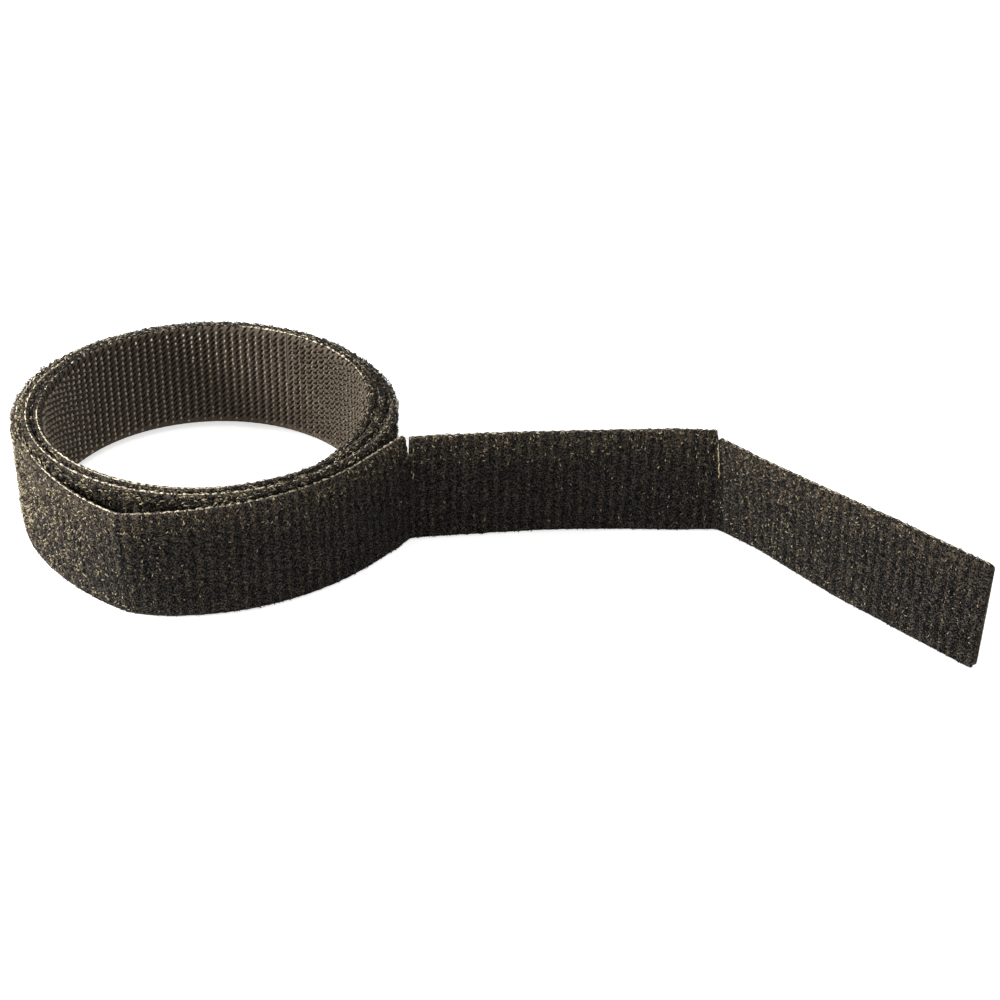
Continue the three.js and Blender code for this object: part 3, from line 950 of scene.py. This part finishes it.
class BuildPile(TapeOperator, bpy.types.Operator):
    """Raises the loops of the pile from the loop cloth"""

    bl_idname = "tape_roll.pile"
    bl_label = "Pile"

    def execute(self, context):
        material = pile_material()
        for number, (label, name, start, end) in enumerate(pile_stretches()):
            rng = np.random.default_rng(PILE_SEED + number)
            u, v, out, frayed = pile_loops(rng, start, end, context.scene.tape_sizes.loop_density)
            tone = pile_tone(rng, u[:, 1], v[:, 1])
            tone[len(tone) - frayed:] = 1.0
            piece = strands(f"{label}_pile", on_tape(gaped(u, v), v, out),
                            size("loop_wire") / 2, 3, tone, material)
            carry(piece, name, "loop_pile")
        return {"FINISHED"}


class BuildHooks(TapeOperator, bpy.types.Operator):
    """Stands the hooks in their columns on the hook cloth"""

    bl_idname = "tape_roll.hooks"
    bl_label = "Hooks"

    def execute(self, context):
        material = hook_material()
        column, row, edge = size("hook_column"), size("hook_row"), size("plain_edge")
        part = np.array([-0.5, -0.45, 0.0, 0.45, 0.5])
        bow = np.array([-0.3, 0.55, 1.0, 0.65, 0.3])
        for number, (name, start, end) in enumerate(stretches(HIDDEN_HOOK_START)):
            rng = np.random.default_rng(HOOK_SEED + number)
            i, j = np.meshgrid(np.arange(math.ceil(start / column), math.ceil(end / column)),
                               np.arange(math.ceil(TAPE_WIDTH / row) + 1), indexing="ij")
            along, across = i.ravel() * column, (j.ravel() + 0.5 * (i.ravel() % 2)) * row
            keep = (across > edge) & (across < TAPE_WIDTH - edge)
            keep &= clear_of_slits(along, across, room=0.15)
            if name == "coil":
                keep &= (across > HIDDEN_HOOKS_FROM) | (along < BARED_HOOK_END)
            along, across = along[keep], across[keep]
            count = len(along)
            along = along + rng.normal(0, 0.07, count)
            across = across + rng.normal(0, 0.09, count)
            wide = (size("hook_width") * rng.uniform(0.92, 1.08, count))[:, None]
            tall = (size("hook_height") * rng.uniform(0.9, 1.1, count))[:, None]
            u = along[:, None] - 0.35 * wide * part
            v = across[:, None] + wide * part
            paths = on_tape(gaped(u, v), v, HOOK_FOOT - tall * bow)
            spread = rng.uniform(-HOOK_TONE_SPREAD, HOOK_TONE_SPREAD, count)
            # The tone by place is painted light and shade; the spread is each hook's own.
            tone = np.clip(np.interp(along, *HOOK_LIGHT_AND_SHADE.T) + spread, 0, 1)
            radius = size("hook_wire") / 2 * np.array([1.0, 1.05, 0.95])
            piece = strands(f"{name}_hooks", paths, radius, 4, tone, material)
            carry(piece, name, "hook_weave")
        return {"FINISHED"}


class DeclareCloth(TapeOperator, bpy.types.Operator):
    """Goes through each cloth ply's stretches between the folds, and does nothing with them"""

    bl_idname = "tape_roll.declare_cloth"
    bl_label = "Declare cloth"

    def execute(self, context):
        for cloth, split in (("loop_cloth", HIDDEN_LOOP_END), ("hook_cloth", HIDDEN_HOOK_START)):
            for name, start, end in stretches(split):
                if name in HINGES:
                    continue
        return {"FINISHED"}


class BuildStage(TapeOperator, bpy.types.Operator):
    """Sets the floor, the lamps, the world and the camera"""

    bl_idname = "tape_roll.stage"
    bl_label = "Stage"

    def execute(self, context):
        scene = context.scene
        mesh = bpy.data.meshes.new("floor")
        mesh.from_pydata([(x * FLOOR_HALF, y * FLOOR_HALF, 0)
                          for x, y in ((-1, -1), (1, -1), (1, 1), (-1, 1))],
                         [], [(0, 1, 2, 3)])
        mesh.materials.append(floor_material())
        floor = bpy.data.objects.new("floor", mesh)
        floor.location.z = -FLOOR_DROP
        scene.collection.objects.link(floor)

        for name, (place, aim, width, power) in LAMPS.items():
            data = bpy.data.lights.new(name, "AREA")
            data.shape, data.size, data.energy = "DISK", width, power
            lamp = bpy.data.objects.new(name, data)
            lamp.location = place
            line = Vector(aim) - Vector(place)
            lamp.rotation_euler = line.to_track_quat("-Z", "Y").to_euler()
            scene.collection.objects.link(lamp)

        world = bpy.data.worlds.new("studio")
        scene.world = world
        world.use_nodes = True
        tree = world.node_tree
        tree.nodes.clear()
        soft, white = (node(tree, "Background", {"Color": WHITE, "Strength": strength})
                       for strength in (WORLD_LIGHT, 1.0))
        mix = node(tree, "MixShader", {0: seen_directly(tree), 1: soft, 2: white})
        node(tree, "OutputWorld", {"Surface": mix})

        pitch, tilt = math.radians(CAMERA_PITCH), math.radians(CAMERA_TILT)
        right = np.array([1.0, 0, 0])
        up = np.array([0, math.sin(pitch), math.cos(pitch)])
        ahead = np.array([0, math.cos(pitch), -math.sin(pitch)])
        right, up = (math.cos(tilt) * right + math.sin(tilt) * up,
                     math.cos(tilt) * up - math.sin(tilt) * right)
        data = bpy.data.cameras.new("camera")
        data.sensor_width = SENSOR_WIDTH
        data.lens = FOCAL_WIDTHS * SENSOR_WIDTH
        data.clip_start, data.clip_end = 0.01, 20
        camera = bpy.data.objects.new("camera", data)
        spot = np.array([*CAMERA_AIM, 0]) - ahead * CAMERA_AWAY
        turned = Matrix(np.stack([right, up, -ahead], 1))
        camera.matrix_world = Matrix.Translation(spot) @ turned.to_4x4()
        scene.collection.objects.link(camera)
        scene.camera = camera
        scene.view_settings.view_transform = "Standard"
        return {"FINISHED"}


class TapePanel(bpy.types.Panel):
    """Lists the roll's sizes and colours, and a button for each step."""

    bl_idname = "VIEW3D_PT_tape_roll"
    bl_label = "Tape roll"
    bl_space_type = "VIEW_3D"
    bl_region_type = "UI"
    bl_category = "Tape roll"

    def draw(self, context):
        for group in (context.scene.tape_sizes, context.scene.tape_colours):
            box = self.layout.box()
            for key in group.__annotations__:
                box.prop(group, key)
        for step in STEPS:
            self.layout.operator(step.bl_idname)


STEPS = (BuildLoopCloth, BuildBondFilm, BuildHookCloth, BuildPile, BuildHooks,
         DeclareCloth, BuildStage)
CLASSES = (TapeSizes, TapeColours, *STEPS, TapePanel)


def register():
    """Adds the classes and the scene's properties."""
    for made in CLASSES:
        bpy.utils.register_class(made)
    bpy.types.Scene.tape_sizes = bpy.props.PointerProperty(type=TapeSizes)
    bpy.types.Scene.tape_colours = bpy.props.PointerProperty(type=TapeColours)


def unregister():
    """Takes away what register added."""
    del bpy.types.Scene.tape_sizes, bpy.types.Scene.tape_colours
    for made in reversed(CLASSES):
        bpy.utils.unregister_class(made)


def main():
    """Builds everything in order."""
    register()
    for step in STEPS:
        group, name = step.bl_idname.split(".")
        getattr(getattr(bpy.ops, group), name)()


if __name__ == "__main__":
    main()
